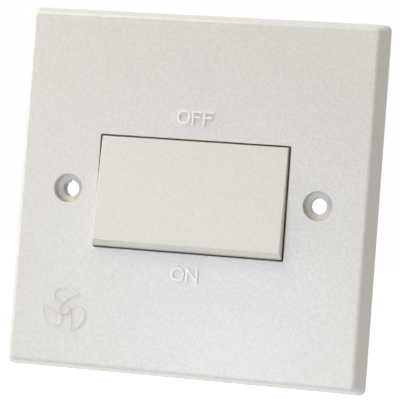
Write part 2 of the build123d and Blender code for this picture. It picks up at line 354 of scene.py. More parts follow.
@dataclass(frozen=True)
class PlateFinish(PlasticFinish):
    """The plate's plastic, with painted shade down its two fixing holes and, a little, on the walls of
    their wells, and painted light on the wells' floors.
    """

    hole_x: float = 30.15 * MM
    hole_r: float = 1.95 * MM
    well_r: float = 3.4 * MM
    wall_before: float = 0.24 * MM
    wall_past: float = 0.03 * MM
    blend: float = 0.12 * MM
    # Painted shade down the holes, painted light on the wells' floors and painted shade on their walls, as
    # factors on the colour.
    hole_painted_shade: float = 0.36
    floor_painted_light: float = 1.06
    wall_painted_shade: float = 0.86

    def _tone(self, net: Net, colour: Socket) -> Socket:
        """Paints shade and light into the colour by the distance from the nearer hole's axis: shade down
        the hole and on the well's wall, light on the well's floor.

        Args:
            net: the material's net.
            colour: the skin's colour.

        Returns:
            The colour with painted shade and light in both wells.
        """
        here = net.add("ShaderNodeSeparateXYZ", {0: net.place()}).outputs
        across = net.math("SUBTRACT", net.math("ABSOLUTE", here[0]), self.hole_x)
        off_axis = net.math("POWER", across, 2.0)
        off_axis = net.math("ADD", off_axis, net.math("POWER", here[2], 2.0))
        off_axis = net.math("SQRT", off_axis)
        rings = (
            (self.hole_r, self.hole_painted_shade, self.floor_painted_light),
            (self.well_r - self.wall_before, 1.0, self.wall_painted_shade / self.floor_painted_light),
            (self.well_r + self.wall_past, 1.0, 1.0 / self.wall_painted_shade),
        )
        # Product of the painted shade and light of each ring.
        painted_light_and_shade: Any = 1.0
        for start, inner, outer in rings:
            step = net.ramp(off_axis, (start, start + self.blend), inner, outer)
            painted_light_and_shade = net.math("MULTIPLY", painted_light_and_shade, step)
        return net.scaled(colour, painted_light_and_shade)


@dataclass(frozen=True)
class MetalFinish(Finish):
    """One bare or plated metal with drawn lines and dull patches."""

    METALLIC = 1.0

    bright: Colour
    dull: Colour
    roughness: float
    lines: Spot
    patch_size: float = 4.0 * MM
    gloss_drift: float = 0.15
    line_height: float = 0.008 * MM

    def _effect(self, effects: SharedEffects) -> Effect:
        """Wears the worked metal.

        Args:
            effects: the shared shader groups.

        Returns:
            The group, its values and the lines' height.
        """
        values = {
            "Bright": (*self.bright, 1.0),
            "Dull": (*self.dull, 1.0),
            "Lines": self.lines,
            "Patch Size": self.patch_size,
            "Roughness": self.roughness,
            "Gloss Drift": self.gloss_drift,
        }
        return effects.worked_metal, values, self.line_height


ETCHED_GRAIN = {"cloudiness": 0.012, "grain_size": 0.6 * MM, "grain_height": 0.08 * MM}
FINISHES: dict[Slot, Finish] = {
    Slot.PLATE: PlateFinish(
        "satin_white_moulding", (0.79, 0.753, 0.706), 0.295, speck=0.2, gloss_drift=0.03, **ETCHED_GRAIN
    ),
    Slot.ROCKER: PlasticFinish(
        "warm_white_moulding", (0.79, 0.757, 0.697), 0.36, speck=0.16, gloss_drift=0.04, **ETCHED_GRAIN
    ),
    Slot.BASE: PlasticFinish(
        "dull_white_moulding", (0.72, 0.715, 0.69), 0.55, cloudiness=0.08, grain_height=0.02 * MM
    ),
    Slot.PLUNGER: PlasticFinish("natural_moulding", (0.74, 0.68, 0.52), 0.45),
    Slot.BRASS: MetalFinish(
        "drawn_brass", (0.83, 0.62, 0.28), (0.55, 0.37, 0.15), 0.28, (2500.0, 2500.0, 90.0)
    ),
    Slot.COPPER: MetalFinish(
        "rolled_copper", (0.86, 0.48, 0.32), (0.50, 0.25, 0.15), 0.26, (2500.0, 2500.0, 120.0)
    ),
    Slot.SILVER: MetalFinish(
        "riveted_silver", (0.86, 0.85, 0.82), (0.55, 0.53, 0.48), 0.24, (1500.0, 1500.0, 1500.0)
    ),
    Slot.SCREW: MetalFinish(
        "zinc_plate", (0.74, 0.73, 0.69), (0.50, 0.49, 0.44), 0.30, (1800.0, 400.0, 1800.0)
    ),
    Slot.SPRING: MetalFinish(
        "drawn_wire", (0.58, 0.58, 0.59), (0.36, 0.36, 0.37), 0.30, (3000.0, 900.0, 3000.0)
    ),
}
# Lighter than the plate's plastic: a painted highlight on the raised letters.
WORD_FINISH = PlasticFinish(
    "painted_highlight_words", (0.93, 0.90, 0.845), 0.30, cloudiness=0.02, grain_height=0.004 * MM
)
SIGN_FINISH = PlasticFinish(
    "matt_sign", (0.748, 0.717, 0.671), 0.50, cloudiness=0.02, grain_height=0.004 * MM
)


class Finishes:
    """Materials of the record's slots, made once and handed out."""

    def __init__(self) -> None:
        """Builds every finish."""
        effects = SharedEffects()
        self.of_slot = {slot: finish.material(effects) for slot, finish in FINISHES.items()}
        self.words = WORD_FINISH.material(effects)
        self.sign = SIGN_FINISH.material(effects)

    def paint(self, piece: Piece, slot: Slot) -> None:
        """Gives a piece one finish all over."""
        piece.data.materials.clear()
        piece.data.materials.append(self.of_slot[slot])

    def paint_node(self, node: str, slot: Slot) -> None:
        """Gives a node of the frame a finish through its object's own slots.

        Args:
            node: the node's name.
            slot: the finish slot.
        """
        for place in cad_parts[node].material_slots:
            place.link = "OBJECT"
            place.material = self.of_slot[slot]


def seat(piece: Piece, body: Body, slot: Slot, nodes: Iterable[str] = ()) -> None:
    """Ties a piece to its body and hides the nodes it stands for.

    Args:
        piece: the finished piece, at the origin.
        body: the body it rides on.
        slot: not used.
        nodes: nodes that it replaces.
    """
    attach(piece, body.value)
    for node in nodes:
        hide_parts(node)
    LOG.info("%s: %d faces on %s", piece.name, len(piece.data.polygons), body.value)


def show(piece: Piece) -> Piece:
    """Links a new object into the scene."""
    bpy.context.scene.collection.objects.link(piece)
    return piece


def smooth(piece: Piece, sharp_deg: float | None = None) -> None:
    """Shades a piece smooth all over, or between its sharp edges.

    Args:
        piece: the piece.
        sharp_deg: edges that turn by more stay sharp, where it is given.
    """
    for face in piece.data.polygons:
        face.use_smooth = True
    if sharp_deg is not None:
        piece.data.set_sharp_from_angle(angle=radians(sharp_deg))


def plain_piece(source: Piece, name: str) -> Piece:
    """Turns a modified object into a plain mesh piece.

    Args:
        source: the object whose modifiers make the shape; it is removed.
        name: the new piece's name.

    Returns:
        A mesh object at the origin with no modifiers.
    """
    graph = bpy.context.evaluated_depsgraph_get()
    mesh = bpy.data.meshes.new_from_object(source.evaluated_get(graph), depsgraph=graph)
    data = source.data
    bpy.data.objects.remove(source)
    if isinstance(data, bpy.types.Curve):
        bpy.data.curves.remove(data)
    else:
        bpy.data.meshes.remove(data)
    mesh.name = name
    return show(bpy.data.objects.new(name, mesh))


def point_seed(name: str, places: Sequence[Spot]) -> Piece:
    """Makes an object of loose points for a Geometry Nodes tree to start from.

    Args:
        name: name of the piece that the tree makes.
        places: where the points are.

    Returns:
        The object.
    """
    mesh = bpy.data.meshes.new(name + "_seed")
    mesh.from_pydata(places, [], [])
    return show(bpy.data.objects.new(name + "_seed", mesh))


def start_shape(name: str, inputs: Sockets) -> tuple[Net, Any]:
    """Starts a Geometry Nodes tree with a geometry, named sizes and a finish for inputs."""
    given = {"Geometry": Kind.GEOMETRY, **inputs, "Finish": Kind.MATERIAL}
    return start_tree("GeometryNodeTree", name, given, {"Geometry": Kind.GEOMETRY})


def end_shape(net: Net, shape: Socket, finish: Socket) -> Tree:
    """Ends a tree with Realize Instances and Set Material.

    Args:
        net: the tree's net.
        shape: the shape that the tree has made.
        finish: the finish input.

    Returns:
        The finished tree.
    """
    real = net.out("GeometryNodeRealizeInstances", {"Geometry": shape})
    dressed = net.out("GeometryNodeSetMaterial", {"Geometry": real, "Material": finish})
    net.add("NodeGroupOutput", {0: dressed})
    return net.tree


def helix(
    net: Net, turns: Socket, radius: Socket, length: Socket, line: Socket, steps: int, sides: int
) -> Socket:
    """Sweeps a closed line of even section along a helix.

    Args:
        net: the tree's net.
        turns: how often it winds.
        radius: radius of the helix.
        length: length along its axis.
        line: radius of the line's section.
        steps: points in a turn.
        sides: sides of the section.

    Returns:
        The line, from the origin up.
    """
    values = {"Resolution": steps, "Rotations": turns, "Start Radius": radius, "End Radius": radius}
    coil = net.out("GeometryNodeCurveSpiral", {**values, "Height": length})
    section = net.out("GeometryNodeCurvePrimitiveCircle", {"Resolution": sides, "Radius": line})
    values = {"Curve": coil, "Profile Curve": section, "Fill Caps": True}
    return net.out("GeometryNodeCurveToMesh", values)


def grow(seed: Piece, tree: Tree, name: str, values: Values) -> Piece:
    """Runs a Geometry Nodes tree, with its inputs set by their identifiers.

    Args:
        seed: the object that the tree starts from; it is removed.
        tree: the tree.
        name: the new piece's name.
        values: a value for each named input.

    Returns:
        The result as a plain mesh piece.
    """
    modifier = seed.modifiers.new(tree.name, "NODES")
    modifier.node_group = tree
    for item in tree.interface.items_tree:
        if item.item_type == "SOCKET" and item.in_out == "INPUT" and item.name in values:
            modifier[item.identifier] = values[item.name]
    return plain_piece(seed, name)


@dataclass
class MouldedCopy:
    """A node's own shape with broken edges and even shading."""

    node: str
    name: str
    slot: Slot
    body: Body
    edge_break: float = 0.12 * MM
    sharp_deg: float = 35.0
    flat_deg: float = 0.2
    merge_reach: float = 0.004 * MM
    break_steps: int = 2
    face_weight: int = 60

    def build(self, finishes: Finishes) -> None:
        """Copies the node, breaks its sharp edges and dresses it.

        Args:
            finishes: the materials.
        """
        piece = show(bpy.data.objects.new(self.name, self._cleaned()))
        bevel = piece.modifiers.new("broken_edges", "BEVEL")
        bevel.width = self.edge_break
        bevel.segments = self.break_steps
        bevel.limit_method = "ANGLE"
        bevel.angle_limit = radians(self.sharp_deg)
        bevel.use_clamp_overlap = True
        even = piece.modifiers.new("even_shading", "WEIGHTED_NORMAL")
        even.keep_sharp = True
        even.weight = self.face_weight
        piece = plain_piece(piece, self.name)
        finishes.paint(piece, self.slot)
        seat(piece, self.body, self.slot, [self.node])

    def _cleaned(self) -> bpy.types.Mesh:
        """Copies the node's mesh with its doubled points merged and its flats whole.

        Returns:
            The copy, smooth between its sharp edges.
        """
        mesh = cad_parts[self.node].data.copy()
        work = bmesh.new()
        work.from_mesh(mesh)
        bmesh.ops.remove_doubles(work, verts=work.verts, dist=self.merge_reach)
        bmesh.ops.dissolve_limit(
            work, angle_limit=radians(self.flat_deg), verts=work.verts, edges=work.edges, delimit=set()
        )
        for face in work.faces:
            face.smooth = True
        work.to_mesh(mesh)
        work.free()
        mesh.set_sharp_from_angle(angle=radians(self.sharp_deg))
        return mesh


@dataclass
class FaceMarks:
    """Raised ON and OFF and a plain fan sign on the plate's face."""

    TREE = "raised_stroke"

    face_y: float
    letter_height: float = 3.6 * MM
    letter_o_width: float = 3.5 * MM
    letter_f_width: float = 2.63 * MM
    letter_n_width: float = 3.2 * MM
    letter_line: float = 0.78 * MM
    letter_rise: float = 0.47 * MM
    letter_gap: float = 0.06 * MM
    letter_o_power: float = 0.9
    letter_bar_lift: float = 0.08
    letter_stem_end: float = 0.8
    off_centre: Point = (-0.30 * MM, 18.8 * MM)
    on_centre: Point = (-0.16 * MM, -18.5 * MM)
    sign_centre: Point = (-28.7 * MM, -29.1 * MM)
    sign_hub: float = 1.2 * MM
    sign_inner: float = 1.5 * MM
    sign_outer: float = 5.3 * MM
    sign_blades: int = 3
    sign_blade_half: float = 2.6 * MM
    sign_swell: float = 0.45
    sign_start_deg: float = 115.2
    sign_sweep_deg: float = -45.0
    sign_line: float = 0.46 * MM
    sign_rise: float = 0.11 * MM
    sunk: float = 0.03 * MM
    ridge_top: float = 0.9
    ridge_round: float = 0.18
    ridge_steps: int = 3
    loop_points: int = 72
    sharp_deg: float = 50.0

    def build(self, finishes: Finishes) -> None:
        """Builds the words and the sign as two pieces on the housing.

        Args:
            finishes: the materials.
        """
        words = self._word("OFF", self.off_centre) + self._word("ON", self.on_centre)
        self._piece("raised_words", words, self.letter_line, self.letter_rise, finishes.words)
        self._piece("fan_sign", self._sign(), self.sign_line, self.sign_rise, finishes.sign)

    def _turns(self) -> list[float]:
        """Gives the angles of a loop's points."""
        return [2 * pi * step / self.loop_points for step in range(self.loop_points)]

    def _loop(self, centre: Point, half: Point, power: float) -> Stroke:
        """Draws a closed loop between an ellipse and a box.

        Args:
            centre: its middle.
            half: half its width and half its height.
            power: 1 for an ellipse, less for squarer corners.

        Returns:
            The loop's points, and that it closes.
        """
        points = []
        for turn in self._turns():
            x = centre[0] + half[0] * copysign(abs(cos(turn)) ** power, cos(turn))
            z = centre[1] + half[1] * copysign(abs(sin(turn)) ** power, sin(turn))
            points.append((x, z))
        return points, True

    def _word(self, word: str, centre: Point) -> list[Stroke]:
        """Draws one word, centred on the face.

        Args:
            word: letters among O, N and F.
            centre: the word's middle on the face.

        Returns:
            Each stroke's points and whether it closes.
        """
        widths = {"O": self.letter_o_width, "F": self.letter_f_width, "N": self.letter_n_width}
        total = sum(widths[letter] for letter in word) + self.letter_gap * (len(word) - 1)
        left = centre[0] - total / 2
        strokes: list[Stroke] = []
        for letter in word:
            strokes += self._letter(letter, left, widths[letter], centre[1])
            left += widths[letter] + self.letter_gap
        return strokes

    def _letter(self, letter: str, left: float, width: float, level: float) -> list[Stroke]:
        """Draws one letter.

        Args:
            letter: O, N or F.
            left: its left edge.
            width: its width.
            level: height of its middle on the face.

        Returns:
            Each stroke's points and whether it closes.
        """
        half = (self.letter_height - self.letter_line) / 2
        inset = self.letter_line / 2
        if letter == "O":
            return [self._loop((left + width / 2, level), (width / 2 - inset, half), self.letter_o_power)]
        x0, x1 = left + inset, left + width - inset
        top, bar, bottom = level + half, level + self.letter_bar_lift * half, level - half
        low, high = bottom - inset, top + self.letter_stem_end * inset
        stem = [(x0, low), (x0, high)]
        if letter == "F":
            lines = [stem, [(x0, top), (x1 + inset, top)], [(x0, bar), (x1, bar)]]
        else:
            lines = [stem, [(x0, top), (x1, bottom)], [(x1, low), (x1, high)]]
        return [(line, False) for line in lines]

    def _sign(self) -> list[Stroke]:
        """Draws a hub ring and like blades, each widest toward its outer end and swept round the hub.

        Returns:
            Each stroke's points and whether it closes.
        """
        strokes = [self._loop(self.sign_centre, (self.sign_hub, self.sign_hub), 1.0)]
        middle = (self.sign_inner + self.sign_outer) / 2
        reach = (self.sign_outer - self.sign_inner) / 2
        for blade in range(self.sign_blades):
            root = radians(self.sign_start_deg) + blade * 2 * pi / self.sign_blades
            points = []
            for turn in self._turns():
                out = middle + reach * cos(turn)
                side = self.sign_blade_half * sin(turn) * (1 + self.sign_swell * cos(turn))
                aim = root + radians(self.sign_sweep_deg) * (1 + cos(turn)) / 2
                x = self.sign_centre[0] + out * cos(aim) - side * sin(aim)
                z = self.sign_centre[1] + out * sin(aim) + side * cos(aim)
                points.append((x, z))
            strokes.append((points, True))
        return strokes

    def _tree(self) -> Tree:
        """Sweeps a low round-shouldered ridge along every stroke and stands it on the face.

        Returns:
            The tree.
        """
        net, given = start_shape(self.TREE, dict.fromkeys(("Line", "Rise", "Sunk", "Face Y"), Kind.FLOAT))
        height = net.math("ADD", given["Rise"], given["Sunk"])
        values = {
            "Bottom Width": given["Line"],
            "Top Width": net.math("MULTIPLY", given["Line"], self.ridge_top),
            "Height": height,
            "Offset": 0.0,
        }
        section = net.out("GeometryNodeCurvePrimitiveQuadrilateral", values, mode="TRAPEZOID")
        radius = net.math("MULTIPLY", given["Rise"], self.ridge_round)
        values = {"Curve": section, "Radius": radius, "Count": self.ridge_steps}
        rounded = net.out("GeometryNodeFilletCurve", values, mode="POLY")
        values = {"Geometry": rounded, "Rotation": (0.0, 0.0, radians(-90.0))}
        turned = net.out("GeometryNodeTransform", values)
        upright = net.out("GeometryNodeSetCurveNormal", {"Curve": given["Geometry"]}, mode="Z_UP")
        values = {"Curve": upright, "Profile Curve": turned, "Fill Caps": True}
        ridge = net.out("GeometryNodeCurveToMesh", values)
        values = {1: ridge, "Self Intersection": True}
        joined = net.out("GeometryNodeMeshBoolean", values, operation="UNION", solver="EXACT")
        lift = net.math("SUBTRACT", net.math("MULTIPLY", height, 0.5), given["Sunk"])
        place = net.out("ShaderNodeCombineXYZ", {1: net.math("SUBTRACT", given["Face Y"], lift)})
        values = {"Geometry": joined, "Translation": place, "Rotation": (radians(90.0), 0.0, 0.0)}
        stood = net.out("GeometryNodeTransform", values)
        return end_shape(net, stood, given["Finish"])

    def _piece(
        self, name: str, strokes: Sequence[Stroke], line: float, rise: float, finish: bpy.types.Material
    ) -> None:
        """Makes one piece from strokes drawn on the face.

        Args:
            name: the piece's name.
            strokes: points across and up the face, and whether each stroke closes.
            line: width at the foot of the ridge.
            rise: height over the face.
            finish: the material.
        """
        path = bpy.data.curves.new(name + "_path", "CURVE")
        path.dimensions = "3D"
        for points, closed in strokes:
            spline = path.splines.new("POLY")
            spline.points.add(len(points) - 1)
            for place, (x, z) in zip(spline.points, points):
                place.co = (x, z, 0.0, 1.0)
            spline.use_cyclic_u = closed
        drawn = show(bpy.data.objects.new(name + "_path", path))
        tree = bpy.data.node_groups.get(self.TREE) or self._tree()
        values = {"Line": line, "Rise": rise, "Sunk": self.sunk, "Face Y": self.face_y, "Finish": finish}
        piece = grow(drawn, tree, name + "_ridge", values)
        smooth(piece, self.sharp_deg)
        even = piece.modifiers.new("even_shading", "WEIGHTED_NORMAL")
        even.keep_sharp = True
        seat(plain_piece(piece, name), Body.HOUSING, Slot.PLATE)


@dataclass
class ScrewSet:
    """Slotted pan-head screws with a rolled thread, all alike, as deep as the first of their nodes."""

    TREE = "slotted_screw"
    SHANK_SIZES = ("Tip", "Length", "Shank Radius", "Thread Pitch", "Thread Depth")
    HEAD_SIZES = ("Head Radius", "Head Height", "Slot Width", "Slot Depth")

    name: str
    nodes: Sequence[str]
    spots: Sequence[Point]
    slot_turns_deg: Sequence[float]
    shank_r: float
    head_r: float
    head_height: float
    pitch: float = 0.7 * MM
    thread_depth: float = 0.2 * MM
    thread_start: float = 0.05
    thread_share: float = 0.86
    slot_width: float = 0.75 * MM
    slot_share: float = 0.5
    slot_reach: float = 3.0
    inside: float = 0.03 * MM
    dome_power: float = 0.8
    rim_power: float = 0.55
    least_ring: float = 0.000001
    sides: int = 48
    rings: int = 24
    coil_steps: int = 24
    ridge_sides: int = 4
    sharp_deg: float = 32.0

    def build(self, finishes: Finishes) -> None:
        """Builds the whole set as one piece on the housing.

        Args:
            finishes: the materials.
        """
        low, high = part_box(self.nodes[0])
        seed = point_seed(self.name, [(x, 0.0, z) for x, z in self.spots])
        turn = seed.data.attributes.new("slot_turn", "FLOAT", "POINT")
        turn.data.foreach_set("value", [radians(angle) for angle in self.slot_turns_deg])
        values = {
            "Shank Radius": self.shank_r - self.thread_depth,
            "Tip": low.y,
            "Length": high.y - self.head_height - low.y,
            "Head Radius": self.head_r,
            "Head Height": self.head_height - self.inside,
            "Slot Width": self.slot_width,
            "Slot Depth": self.head_height * self.slot_share,
            "Thread Pitch": self.pitch,
            "Thread Depth": self.thread_depth,
            "Finish": finishes.of_slot[Slot.SCREW],
        }
        tree = bpy.data.node_groups.get(self.TREE) or self._tree()
        piece = grow(seed, tree, self.name, values)
        smooth(piece, self.sharp_deg)
        seat(piece, Body.HOUSING, Slot.SCREW, self.nodes)

    def _tree(self) -> Tree:
        """Builds one screw along its axis and sets it, laid along Y, at every spot.

        Returns:
            The tree.
        """
        sizes = dict.fromkeys(self.SHANK_SIZES + self.HEAD_SIZES, Kind.FLOAT)
        net, given = start_shape(self.TREE, sizes)
        screw = net.add("GeometryNodeJoinGeometry")
        for part in (self._core(net, given), self._thread(net, given), self._head(net, given)):
            net.feed(screw.inputs[0], part)
        based = self._raised(net, screw.outputs[0], given["Tip"])
        turn = net.out("GeometryNodeInputNamedAttribute", {"Name": "slot_turn"}, data_type="FLOAT")
        lay = net.out("FunctionNodeEulerToRotation", {0: (radians(-90.0), 0.0, 0.0)})
        values = {"Axis": (0.0, 1.0, 0.0), "Angle": turn}
        spin = net.out("FunctionNodeAxisAngleToRotation", values)
        values = {0: lay, 1: spin}
        aim = net.out("FunctionNodeRotateRotation", values, rotation_space="GLOBAL")
        points = net.out("GeometryNodeMeshToPoints", {"Mesh": given["Geometry"]})
        values = {"Points": points, "Instance": based, "Rotation": aim}
        placed = net.out("GeometryNodeInstanceOnPoints", values)
        return end_shape(net, placed, given["Finish"])

    def _core(self, net: Net, given: Any) -> Socket:
        """Makes the plain core under the thread, from the tip up."""
        values = {"Vertices": self.sides, "Radius": given["Shank Radius"], "Depth": given["Length"]}
        return self._raised(net, net.out("GeometryNodeMeshCylinder", values), given["Length"], 0.5)

    def _thread(self, net: Net, given: Any) -> Socket:
        """Makes the helical ridge of the thread.

        Args:
            net: the tree's net.
            given: the tree's inputs.

        Returns:
            The ridge, in its place on the core.
        """
        span = net.math("MULTIPLY", given["Length"], self.thread_share)
        turns = net.math("DIVIDE", span, given["Thread Pitch"])
        radius, depth = given["Shank Radius"], given["Thread Depth"]
        thread = helix(net, turns, radius, span, depth, self.coil_steps, self.ridge_sides)
        return self._raised(net, thread, given["Length"], self.thread_start)

    def _head(self, net: Net, given: Any) -> Socket:
        """Makes the pan head and cuts its slot.

        Args:
            net: the tree's net.
            given: the tree's inputs.

        Returns:
            The head, on top of the core.
        """
        values = {"Segments": self.sides, "Rings": self.rings, "Radius": 1.0}
        ball = net.out("GeometryNodeMeshUVSphere", values)
        values = {0: given["Head Radius"], 1: given["Head Radius"], 2: given["Head Height"]}
        size = net.out("ShaderNodeCombineXYZ", values)
        values = {"Geometry": ball, "Position": self._pan_shape(net, size)}
        pan = net.out("GeometryNodeSetPosition", values)
        values = {
            0: given["Slot Width"],
            1: net.math("MULTIPLY", given["Head Radius"], self.slot_reach),
            2: net.math("MULTIPLY", given["Slot Depth"], 2.0),
        }
        slot_size = net.out("ShaderNodeCombineXYZ", values)
        slot = net.out("GeometryNodeMeshCube", {"Size": slot_size})
        slot_up = self._raised(net, slot, given["Head Height"])
        cut = net.out("GeometryNodeMeshBoolean", {0: pan, 1: slot_up}, operation="DIFFERENCE")
        return self._raised(net, cut, given["Length"])

    def _raised(self, net: Net, shape: Socket, height: Socket, share: float = 1.0) -> Socket:
        """Moves a shape up the screw's own axis by a share of a height."""
        place = net.out("ShaderNodeCombineXYZ", {2: net.math("MULTIPLY", height, share)})
        return net.out("GeometryNodeTransform", {"Geometry": shape, "Translation": place})

    def _pan_shape(self, net: Net, size: Socket) -> Socket:
        """Turns a unit ball into a pan head: flat under, straight rim, low dome.

        Args:
            net: the tree's net.
            size: head radius twice and head height.

        Returns:
            The new position of each point.
        """
        position = net.out("GeometryNodeInputPosition")
        here = net.add("ShaderNodeSeparateXYZ", {0: position}).outputs
        dome = net.math("POWER", net.math("MAXIMUM", here[2], 0.0), self.dome_power)
        ring = net.math("SUBTRACT", 1.0, net.math("MULTIPLY", here[2], here[2]))
        ring = net.math("POWER", net.math("MAXIMUM", ring, self.least_ring), 0.5)
        wide = net.math("DIVIDE", net.math("POWER", ring, self.rim_power), ring)
        values = {0: net.math("MULTIPLY", here[0], wide), 1: net.math("MULTIPLY", here[1], wide), 2: dome}
        return net.product(net.out("ShaderNodeCombineXYZ", values), size)


def base_screw_set() -> ScrewSet:
    """Sizes the four screws that hold the base to the plate.

    Returns:
        The set.
    """
    x, z = 28.5 * MM, 14.0 * MM
    return ScrewSet(
        name="ear_screws",
        nodes=["base_screws"],
        spots=[(-x, -z), (-x, z), (x, -z), (x, z)],
        slot_turns_deg=(25, -60, 80, 10),
        shank_r=1.3 * MM,
        head_r=2.5 * MM,
        head_height=1.6 * MM,
    )


def terminal_screw_set() -> ScrewSet:
    """Sizes the six clamp screws, backed out of the wire tunnels.

    Returns:
        The set.
    """
    reach = 15.4 * MM
    return ScrewSet(
        name="clamp_screws",
        nodes=[f"{side}_screw_{pole}" for side in SIDES for pole in POLES],
        spots=[((pole - MIDDLE_POLE) * POLE_PITCH, z) for z in (-reach, reach) for pole in POLES],
        slot_turns_deg=(12, 75, -40, 33, -15, 60),
        shank_r=1.7 * MM,
        head_r=2.6 * MM,
        head_height=2.0 * MM,
    )


@dataclass
class PinMarks:
    """Witness rings that the mould's ejector pins leave on a hidden face."""

    TREE = "pin_ring"

    name: str
    slot: Slot
    face_y: float
    spots: Sequence[Point]
    ring_r: float = 1.5 * MM
    line: float = 0.16 * MM
    ring_steps: int = 48
    line_sides: int = 8

    def build(self, finishes: Finishes) -> None:
        """Builds the rings of one face as one piece on the housing.

        Args:
            finishes: the materials.
        """
        seed = point_seed(self.name, [(x, self.face_y, z) for x, z in self.spots])
        tree = bpy.data.node_groups.get(self.TREE) or self._tree()
        values = {"Ring Radius": self.ring_r, "Line": self.line, "Finish": finishes.of_slot[self.slot]}
        piece = grow(seed, tree, self.name, values)
        smooth(piece)
        seat(piece, Body.HOUSING, self.slot)

    def _tree(self) -> Tree:
        """Lays a low round ring, half sunk in the face, at every spot.

        Returns:
            The tree.
        """
        net, given = start_shape(self.TREE, dict.fromkeys(("Ring Radius", "Line"), Kind.FLOAT))
        values = {"Resolution": self.ring_steps, "Radius": given["Ring Radius"]}
        path = net.out("GeometryNodeCurvePrimitiveCircle", values)
        values = {"Resolution": self.line_sides, "Radius": net.math("MULTIPLY", given["Line"], 0.5)}
        section = net.out("GeometryNodeCurvePrimitiveCircle", values)
        values = {"Curve": path, "Profile Curve": section}
        ring = net.out("GeometryNodeCurveToMesh", values)
        points = net.out("GeometryNodeMeshToPoints", {"Mesh": given["Geometry"]})
        lay = net.out("FunctionNodeEulerToRotation", {0: (radians(90.0), 0.0, 0.0)})
        values = {"Points": points, "Instance": ring, "Rotation": lay}
        placed = net.out("GeometryNodeInstanceOnPoints", values)
        return end_shape(net, placed, given["Finish"])


def plate_pin_marks(plate_front: float) -> PinMarks:
    """Places pin rings on the plate's hollow side, clear of its bosses.

    Args:
        plate_front: depth of the plate's face.

    Returns:
        The rings.
    """
    wall = 2.4 * MM
    places = [(36, 36), (36, 22), (18, 34)]
    spots = [(sx * x * MM, sz * z * MM) for x, z in places for sx in (-1, 1) for sz in (-1, 1)]
    spots += [(0.0, 28.0 * MM), (0.0, -28.0 * MM)]
    return PinMarks("plate_pin_marks", Slot.PLATE, plate_front + wall, spots)


def base_pin_marks(base_back: float) -> PinMarks:
    """Places pin rings across the middle of the base's back."""
    spots = [(x * MM, 0.0) for x in (-20.5, -7.5, 7.5, 20.5)]
    return PinMarks("base_pin_marks", Slot.BASE, base_back, spots, ring_r=1.3 * MM)


@dataclass
class PlungerSprings:
    """Compression springs in the rocker's bores, each shortened by its plunger."""

    TREE = "coil_spring"

    side_play: float = 0.12 * MM
    pivot_y: float = -3.3 * MM
    lean_deg: float = -8.0
    bore_end: float = -2.2 * MM
    seat: float = 3.5 * MM
    coil_r: float = 1.35 * MM
    wire: float = 0.45 * MM
    turns: float = 5.0
    margin: float = 0.275 * MM
    press: float = 1.2 * MM
    coil_steps: int = 40
    wire_sides: int = 12

    def build(self, finishes: Finishes) -> None:
        """Builds one spring a pole on the rocker.

        Args:
            finishes: the materials.
        """
        tree = self._tree()
        axis = Matrix.Rotation(radians(self.lean_deg), 3, "X") @ Vector((0.0, 1.0, 0.0))
        length = self.seat - self.bore_end - 2 * self.margin
        for pole in POLES:
            across = (pole - MIDDLE_POLE) * POLE_PITCH - self.side_play
            start = Vector((across, self.pivot_y, 0.0)) + axis * (self.bore_end + self.margin)
            values = {
                "Coil Radius": self.coil_r,
                "Wire Radius": self.wire / 2,
                "Length": length,
                "Turns": self.turns,
                "Lean": radians(self.lean_deg),
                "Start": start,
                "Finish": finishes.of_slot[Slot.SPRING],
            }
            name = f"coil_spring_{pole}"
            piece = grow(point_seed(name, []), tree, name, values)
            smooth(piece)
            seat(piece, Body.ROCKER, Slot.SPRING, [f"plunger_spring_{pole}"])
            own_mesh(piece)

    def _tree(self) -> Tree:
        """Sweeps round wire along a helix whose axis lies along the bore.

        Returns:
            The tree.
        """
        sizes = ("Coil Radius", "Wire Radius", "Length", "Turns", "Lean")
        net, given = start_shape(self.TREE, {**dict.fromkeys(sizes, Kind.FLOAT), "Start": Kind.VECTOR})
        radius, wire = given["Coil Radius"], given["Wire Radius"]
        coil = helix(net, given["Turns"], radius, given["Length"], wire, self.coil_steps, self.wire_sides)
        lean = net.out("ShaderNodeCombineXYZ", {0: net.math("SUBTRACT", given["Lean"], pi / 2)})
        values = {"Geometry": coil, "Translation": given["Start"], "Rotation": lean}
        placed = net.out("GeometryNodeTransform", values)
        return end_shape(net, placed, given["Finish"])


@dataclass
class Mechanism:
    """Terminals, contacts and plungers behind the plate."""

    SMALL = (
        ("moving_contact", Slot.COPPER),
        ("contact_button", Slot.SILVER),
        ("fixed_contact", Slot.SILVER),
        ("plunger", Slot.PLUNGER),
    )

    brass_break: float = 0.18 * MM

    def build(self, finishes: Finishes) -> None:
        """Dresses the brass as worked copies and the small pieces as they are.

        Args:
            finishes: the materials.
        """
        for pole in POLES:
            for side in SIDES:
                node, name = f"{side}_terminal_{pole}", f"brass_{side}_{pole}"
                MouldedCopy(node, name, Slot.BRASS, Body.HOUSING, self.brass_break).build(finishes)
            for node, slot in self.SMALL:
                finishes.paint_node(f"{node}_{pole}", slot)
            LOG.info("pole %d dressed", pole)


@dataclass(frozen=True)
class Lamp:
    """One square soft lamp that faces the object, unseen by the camera."""

    name: str
    place: Spot
    size: float
    watts: float
    colour: Colour = WHITE

    def build(self) -> None:
        """Adds the lamp."""
        data = bpy.data.lights.new(self.name, "AREA")
        data.shape = "SQUARE"
        data.size = self.size
        data.energy = self.watts
        data.color = self.colour
        lamp = show(bpy.data.objects.new(self.name, data))
        lamp.location = self.place
        lamp.visible_camera = False
        lamp.rotation_euler = (-Vector(self.place)).to_track_quat("-Z", "Y").to_euler()


